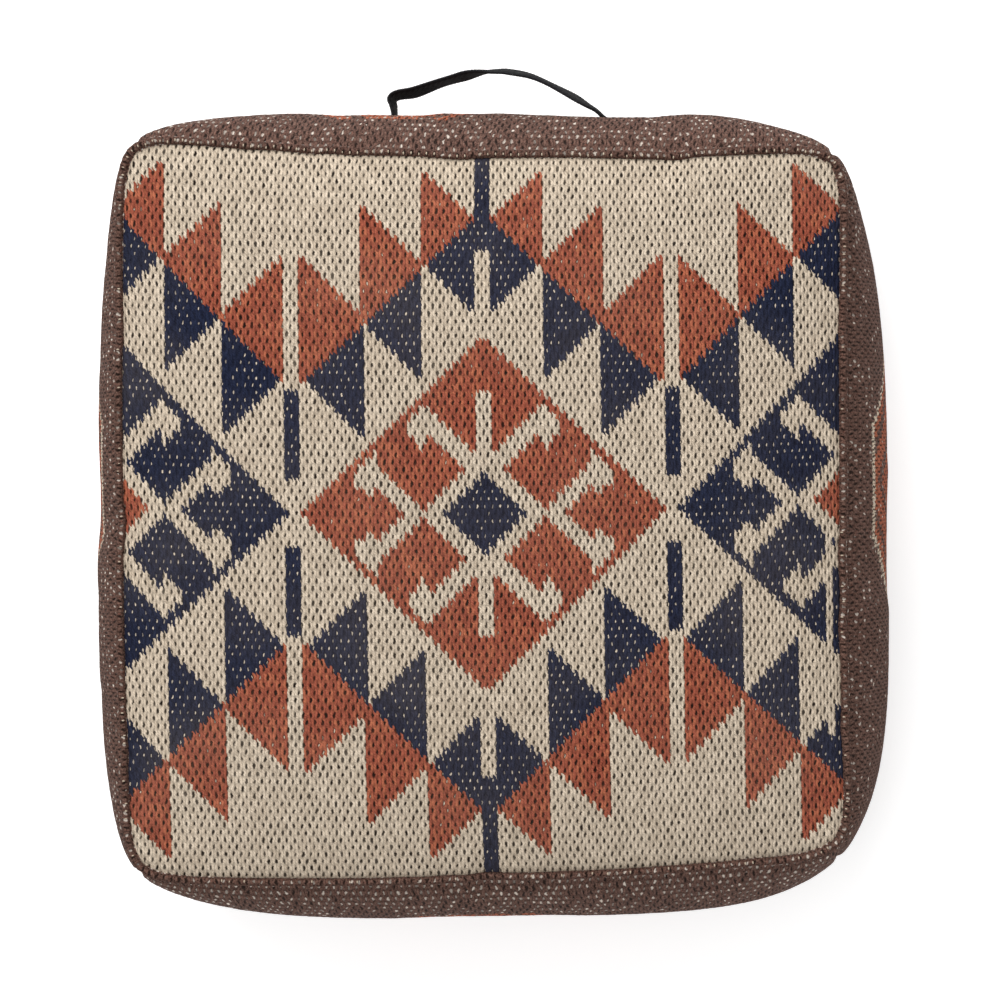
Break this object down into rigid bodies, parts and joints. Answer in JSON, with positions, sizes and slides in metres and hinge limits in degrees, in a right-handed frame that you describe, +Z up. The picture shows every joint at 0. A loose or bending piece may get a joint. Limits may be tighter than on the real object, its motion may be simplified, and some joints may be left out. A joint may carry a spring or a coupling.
{
  "type": "floor pouf",
  "caption": "Square padded floor pouf with a flat-woven geometric cover, a webbing carry handle on one side and a zipped base.",
  "frame": {"origin": "on the floor, under the middle of the whole box, handle included", "axes": "+Z up through the patterned face, +Y towards the side with the handle, +X to the right"},
  "size_m": [0.6, 0.6346, 0.21],
  "materials": {
    "face_cloth": "thick cream cotton flat weave with a terracotta and navy geometric pattern",
    "side_cloth": "thick brown cotton weave with cream flecks and a terracotta medallion",
    "base_cloth": "plain brown canvas",
    "webbing": "black woven webbing",
    "thread": "black sewing thread",
    "zip_tape": "brown zip tape",
    "zip_coil": "brown nylon coil",
    "zip_metal": "antique brass, satin",
    "liner_cloth": "undyed calico",
    "wadding": "white polyester wadding",
    "foam": "open-cell foam"
  },
  "bodies": {
    "cover": {"top_panel": "face_cloth", "side_panel_front": "side_cloth", "side_panel_right": "side_cloth", "side_panel_back": "side_cloth", "side_panel_left": "side_cloth", "top_seam_roll": "side_cloth", "base_seam_roll": "side_cloth", "base_panel_front": "base_cloth", "base_panel_back": "base_cloth", "zip_end_left": "base_cloth", "zip_end_right": "base_cloth", "zip_facing_front": "base_cloth", "zip_facing_back": "base_cloth", "zip_tape_front": "zip_tape", "zip_tape_back": "zip_tape", "zip_coil_front": "zip_coil", "zip_coil_back": "zip_coil", "zip_stop_left": "zip_metal", "zip_stop_right": "zip_metal", "handle_end_left": "webbing", "handle_end_right": "webbing", "handle_stitch_left": "thread", "handle_stitch_right": "thread", "handle_patch_left": "liner_cloth", "handle_patch_right": "liner_cloth", "liner_top": "liner_cloth", "liner_base": "liner_cloth", "liner_wrap": "liner_cloth", "wadding_top": "wadding", "wadding_base": "wadding", "wadding_wrap": "wadding", "foam_core": "foam"},
    "handle": {"handle_strap": "webbing"},
    "slider": {"zip_slider": "zip_metal"},
    "pull": {"zip_pull": "zip_metal"}
  },
  "joints": [
    {"name": "handle_hinge", "type": "hinge", "parent": "cover", "child": "handle", "pos_m": [0, 0.29025, 0.103], "axis": [1, 0, 0], "range_deg": [-40, 40], "stiffness_Nm_per_rad": 0.15},
    {"name": "zip_slide", "type": "slide", "parent": "cover", "child": "slider", "axis": [-1, 0, 0], "range_m": [0, 0.37]},
    {"name": "pull_hinge", "type": "hinge", "parent": "slider", "child": "pull", "pos_m": [0.185, -0.01725, 0.0031], "axis": [0, 1, 0], "range_deg": [0, 180]}
  ]
}
